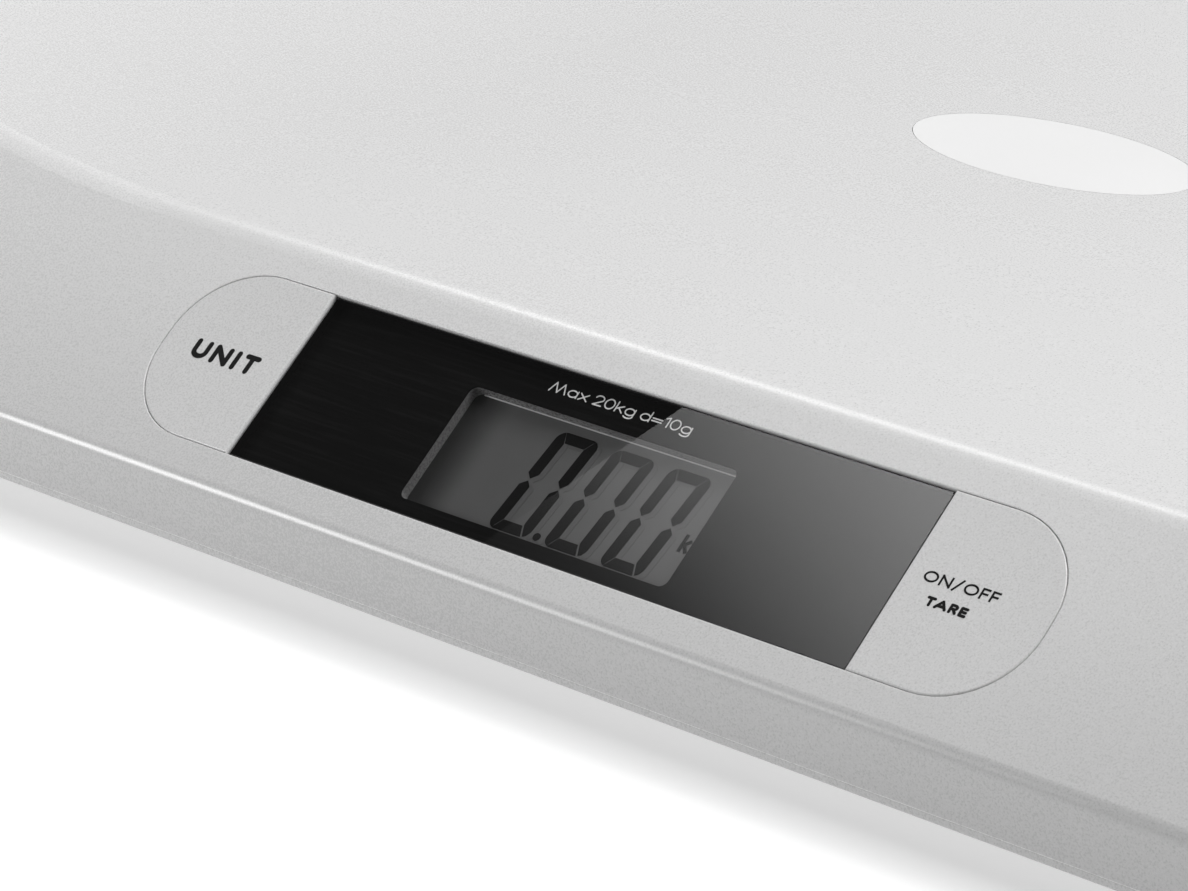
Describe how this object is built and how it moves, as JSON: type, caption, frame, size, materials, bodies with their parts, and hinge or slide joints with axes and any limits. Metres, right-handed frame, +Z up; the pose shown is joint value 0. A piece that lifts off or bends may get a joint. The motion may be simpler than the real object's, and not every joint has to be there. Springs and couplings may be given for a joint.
{
  "type": "digital baby weighing scale",
  "caption": "Low digital baby scale: a cradle-shaped tray with rising ends, a sloped display panel between two keys, feet over load cells and a battery door below.",
  "frame": {"origin": "on the floor, under the centre of the housing's footprint", "axes": "+X to the right seen from the display side, along the length; +Y to the rear, away from the display; +Z up"},
  "size_m": [0.552, 0.338, 0.0672],
  "materials": {
    "housing_grey": "satin moulded ABS, light grey",
    "inlay_white": "smooth white inlay",
    "window_clear": "clear polished acrylic",
    "mask_black": "black print behind the window",
    "holder_grey": "moulded display holder",
    "lcd_panel": "display glass with polarisers",
    "zebra_rubber": "layered connector rubber",
    "reflector_film": "matt reflector film",
    "key_grey": "satin moulded ABS, light grey",
    "switch_black": "moulded switch body",
    "plunger_brown": "moulded plunger",
    "board_green": "solder resist on laminate",
    "screw_steel": "zinc-plated steel",
    "chip_black": "moulded chip",
    "component_tan": "ceramic and moulded parts",
    "socket_white": "nylon sockets",
    "cover_grey": "textured moulded ABS",
    "pad_rubber": "moulded rubber",
    "cup_grey": "moulded foot cup",
    "cell_steel": "nickel-plated spring steel",
    "seat_white": "moulded seat",
    "gauge_white": "silicone over the strain gauge",
    "battery_wrap": "plain printed sleeve of a cell",
    "contact_nickel": "nickel-plated spring steel",
    "lead_black": "flexible vinyl sheath"
  },
  "bodies": {
    "root": {"tray_shell": "housing_grey", "badge_inlay": "inlay_white", "display_window": "window_clear", "window_mask": "mask_black", "lcd_holder": "holder_grey", "lcd_glass": "lcd_panel", "zebra_strip_lower": "zebra_rubber", "zebra_strip_upper": "zebra_rubber", "lcd_reflector": "reflector_film", "unit_switch": "switch_black", "tare_switch": "switch_black", "circuit_board": "board_green", "board_screws": "screw_steel", "controller_chip": "chip_black", "board_components": "component_tan", "lead_sockets": "socket_white", "bottom_cover": "cover_grey", "housing_screws": "screw_steel", "strain_gauges": "gauge_white", "seat_screws": "screw_steel", "battery_contacts": "contact_nickel", "battery_springs": "contact_nickel", "battery_lead": "lead_black", "foot_pad_front_left": "pad_rubber", "foot_cup_front_left": "cup_grey", "load_cell_front_left": "cell_steel", "load_cell_seat_front_left": "seat_white", "load_cell_lead_front_left": "lead_black", "foot_pad_front_right": "pad_rubber", "foot_cup_front_right": "cup_grey", "load_cell_front_right": "cell_steel", "load_cell_seat_front_right": "seat_white", "load_cell_lead_front_right": "lead_black", "foot_pad_rear_left": "pad_rubber", "foot_cup_rear_left": "cup_grey", "load_cell_rear_left": "cell_steel", "load_cell_seat_rear_left": "seat_white", "load_cell_lead_rear_left": "lead_black", "foot_pad_rear_right": "pad_rubber", "foot_cup_rear_right": "cup_grey", "load_cell_rear_right": "cell_steel", "load_cell_seat_rear_right": "seat_white", "load_cell_lead_rear_right": "lead_black", "battery_cell_1": "battery_wrap", "battery_cell_2": "battery_wrap", "battery_cell_3": "battery_wrap", "battery_cell_4": "battery_wrap"},
    "unit_key": {"unit_button": "key_grey", "unit_switch_plunger": "plunger_brown"},
    "tare_key": {"tare_button": "key_grey", "tare_switch_plunger": "plunger_brown"},
    "door": {"battery_door": "cover_grey"}
  },
  "joints": [
    {"name": "unit_press", "type": "slide", "parent": "root", "child": "unit_key", "axis": [0, 0.592, -0.8059], "range_m": [0, 0.0006], "stiffness_N_per_m": 1500, "springref_m": -0.0003},
    {"name": "tare_press", "type": "slide", "parent": "root", "child": "tare_key", "axis": [0, 0.592, -0.8059], "range_m": [0, 0.0006], "stiffness_N_per_m": 1500, "springref_m": -0.0003},
    {"name": "door_hinge", "type": "hinge", "parent": "root", "child": "door", "pos_m": [0, 0.05945, 0.0063], "axis": [1, 0, 0], "range_deg": [0, 95]}
  ]
}
